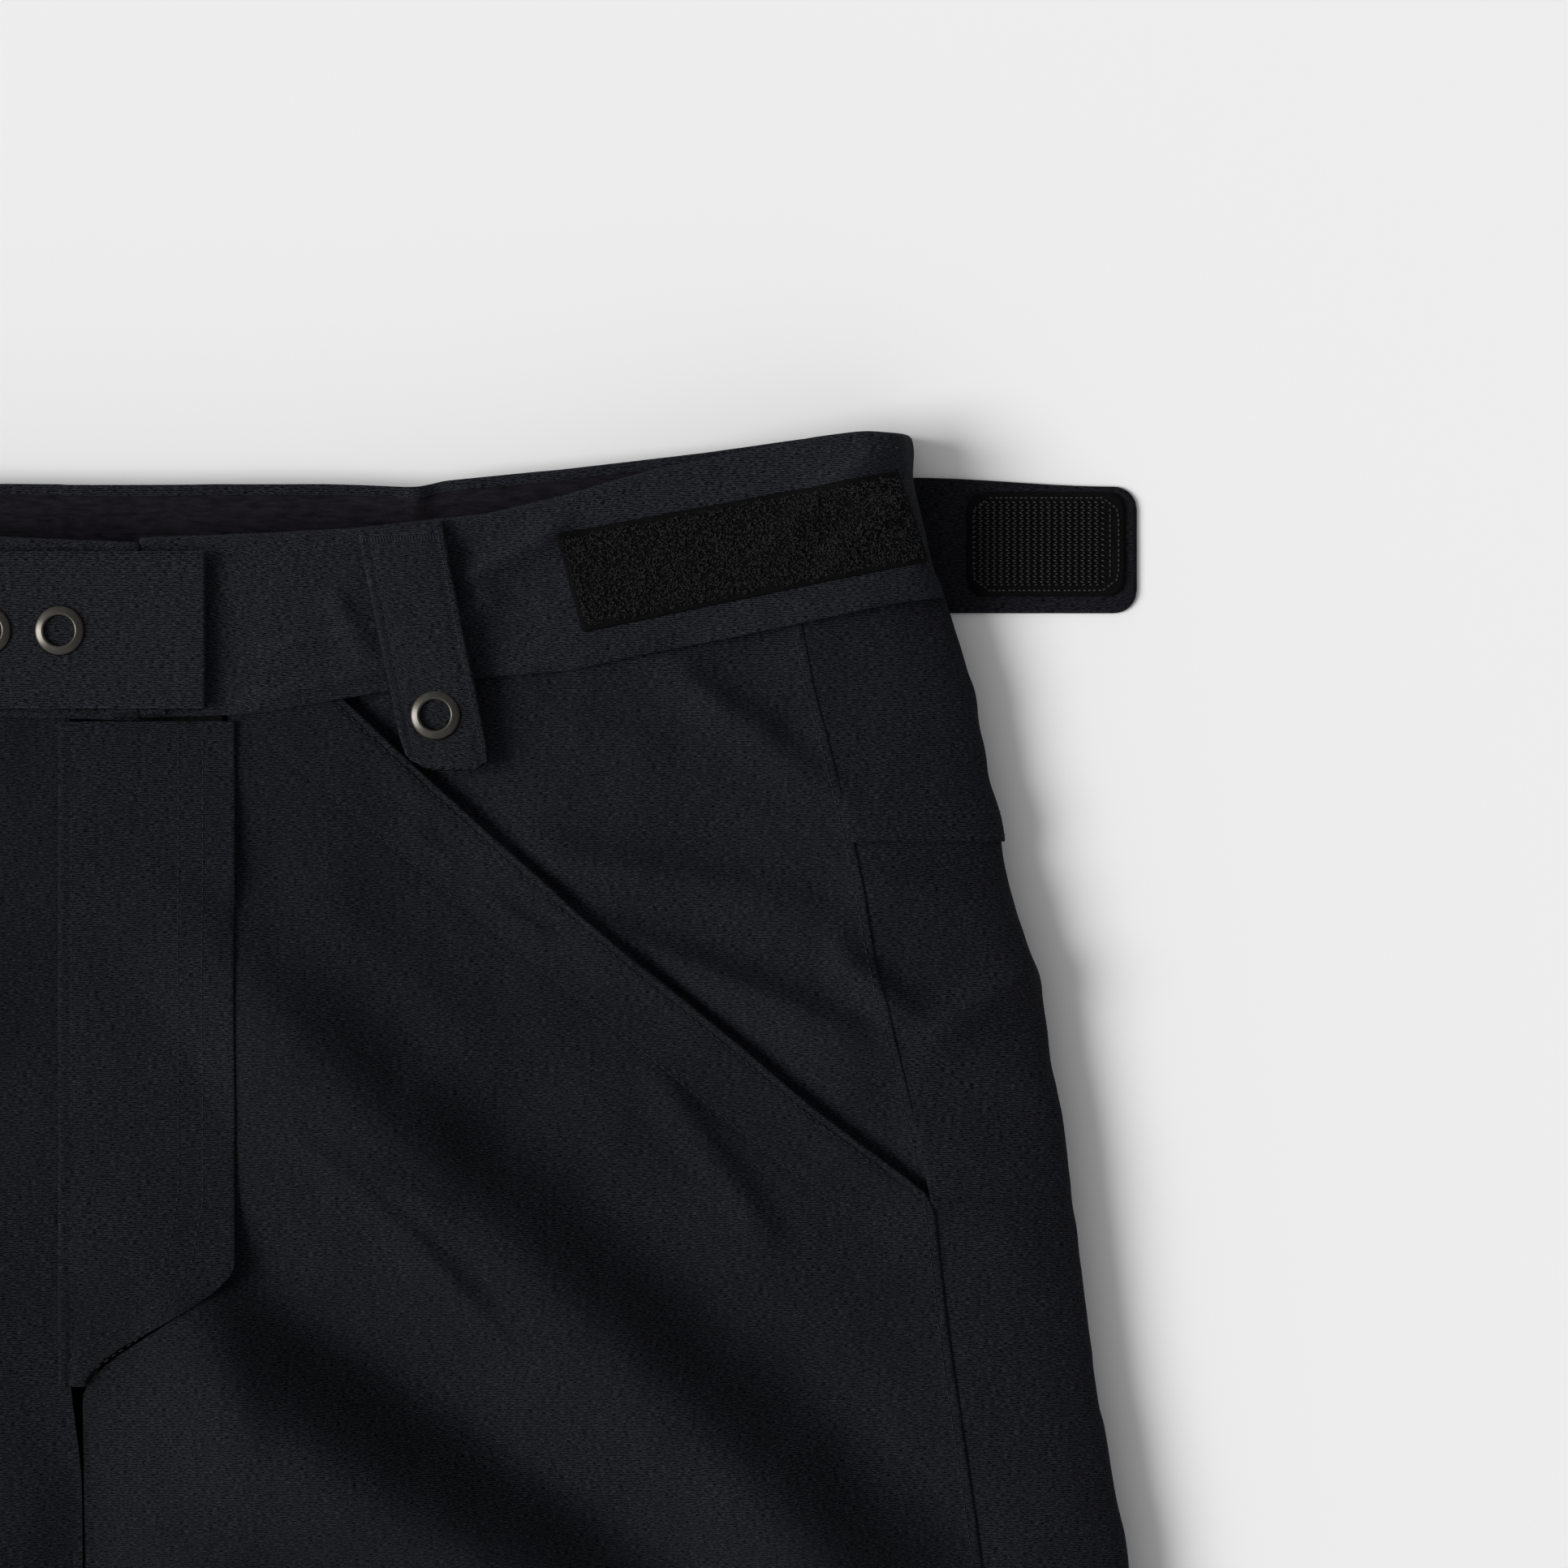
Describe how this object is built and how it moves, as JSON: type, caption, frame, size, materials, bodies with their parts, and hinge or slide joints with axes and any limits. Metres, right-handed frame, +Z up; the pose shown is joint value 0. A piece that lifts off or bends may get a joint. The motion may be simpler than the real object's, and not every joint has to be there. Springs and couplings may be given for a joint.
{
  "type": "ski pants",
  "caption": "Insulated ski pants lying flat on their back, with hook-and-loop waist adjusters, snap belt loops, slanted hand pockets, a fly zip and leg gaiters.",
  "frame": {"origin": "on the surface the pants lie on, under the middle of the bounding box, which is on the line between the two legs", "axes": "+Z up off the surface, +Y along the legs towards the waist, +X towards the wearer's left leg"},
  "size_m": [0.62, 1.066, 0.0305],
  "materials": {
    "shell": "fine ribbed matt weave, black with a slight navy cast",
    "band_shell": "the shell cloth doubled over stiffening",
    "brushed_lining": "brushed fleece, brownish black",
    "loop_tape": "fuzzy loop pile with woven selvedges",
    "hook_tape": "rows of fine hooks",
    "tab_strap": "doubled plain black cloth, edge stitched",
    "strap": "doubled shell cloth, edge stitched",
    "snap_metal": "dark gunmetal plating",
    "taffeta": "thin smooth taffeta",
    "zip_tape": "woven herringbone tape",
    "zip_teeth": "moulded teeth",
    "zip_metal": "black lacquer",
    "elastic": "ribbed knitted elastic",
    "scuff_cloth": "dense plain weave"
  },
  "bodies": {
    "pants": {"crotch_gusset": "shell", "fly_underlap": "taffeta", "fly_zip_tapes": "zip_tape", "fly_zip_teeth": "zip_teeth", "left_back_thigh_panel": "shell", "left_front_thigh_panel": "shell", "left_inner_thigh_panel": "shell", "left_loop_tape": "loop_tape", "left_pocket_backing": "shell", "left_pocket_bag": "taffeta", "left_side_thigh_panel": "shell", "left_side_yoke": "shell", "loop_snap_studs": "snap_metal", "rear_belt_loops": "strap", "right_back_thigh_panel": "shell", "right_front_thigh_panel": "shell", "right_inner_thigh_panel": "shell", "right_loop_tape": "loop_tape", "right_pocket_backing": "shell", "right_pocket_bag": "taffeta", "right_side_thigh_panel": "shell", "right_side_yoke": "shell", "tab_roots": "tab_strap", "waist_tab_snap_studs": "snap_metal", "waistband_back": "band_shell", "waistband_back_lining": "brushed_lining", "waistband_front_left": "band_shell", "waistband_front_linings": "brushed_lining", "waistband_front_right": "band_shell"},
    "fly_flap": {"fly_flap": "shell"},
    "left_belt_loop": {"left_belt_loop": "strap", "left_loop_snap_ring": "snap_metal", "left_loop_snap_socket": "snap_metal"},
    "left_lower_leg": {"left_back_shin_panel": "shell", "left_front_shin_panel": "shell", "left_gaiter": "taffeta", "left_gaiter_cuff": "elastic", "left_inner_shin_panel": "shell", "left_scuff_guard": "scuff_cloth", "left_side_shin_panel": "shell"},
    "left_tab": {"left_adjuster_tab": "tab_strap", "left_hook_tape": "hook_tape"},
    "right_belt_loop": {"right_belt_loop": "strap", "right_loop_snap_ring": "snap_metal", "right_loop_snap_socket": "snap_metal"},
    "right_lower_leg": {"right_back_shin_panel": "shell", "right_front_shin_panel": "shell", "right_gaiter": "taffeta", "right_gaiter_cuff": "elastic", "right_inner_shin_panel": "shell", "right_scuff_guard": "scuff_cloth", "right_side_shin_panel": "shell"},
    "right_tab": {"right_adjuster_tab": "tab_strap", "right_hook_tape": "hook_tape"},
    "waist_tab": {"waist_tab": "band_shell", "waist_tab_snap_rings": "snap_metal", "waist_tab_snap_sockets": "snap_metal"},
    "zip_slider": {"fly_zip_pull": "zip_metal", "fly_zip_slider": "zip_metal"}
  },
  "joints": [
    {"name": "left_tab_fold", "type": "hinge", "parent": "pants", "child": "left_tab", "pos_m": [0.214, 0.5053, 0.0145], "axis": [0, -1, 0], "range_deg": [0, 176]},
    {"name": "left_belt_loop_lift", "type": "hinge", "parent": "pants", "child": "left_belt_loop", "pos_m": [0.079, 0.5098, 0.0257], "axis": [-1, 0, 0], "range_deg": [0, 150]},
    {"name": "left_knee_fold", "type": "hinge", "parent": "pants", "child": "left_lower_leg", "pos_m": [0.17, -0.077, 0.0246], "axis": [-1, 0, 0], "range_deg": [0, 165]},
    {"name": "right_tab_fold", "type": "hinge", "parent": "pants", "child": "right_tab", "pos_m": [-0.214, 0.5053, 0.0145], "axis": [0, 1, 0], "range_deg": [0, 176]},
    {"name": "right_belt_loop_lift", "type": "hinge", "parent": "pants", "child": "right_belt_loop", "pos_m": [-0.079, 0.5098, 0.0257], "axis": [-1, 0, 0], "range_deg": [0, 150]},
    {"name": "right_knee_fold", "type": "hinge", "parent": "pants", "child": "right_lower_leg", "pos_m": [-0.17, -0.077, 0.0246], "axis": [-1, 0, 0], "range_deg": [0, 165]},
    {"name": "waist_tab_open", "type": "hinge", "parent": "pants", "child": "waist_tab", "pos_m": [0.0306, 0.48375, 0.0286], "axis": [0, 1, 0], "range_deg": [0, 115]},
    {"name": "fly_flap_open", "type": "hinge", "parent": "pants", "child": "fly_flap", "pos_m": [0.038, 0.378, 0.024], "axis": [0, 1, 0], "range_deg": [0, 110]},
    {"name": "zip_slide", "type": "slide", "parent": "pants", "child": "zip_slider", "axis": [0, -1, 0], "range_m": [0, 0.12]}
  ]
}
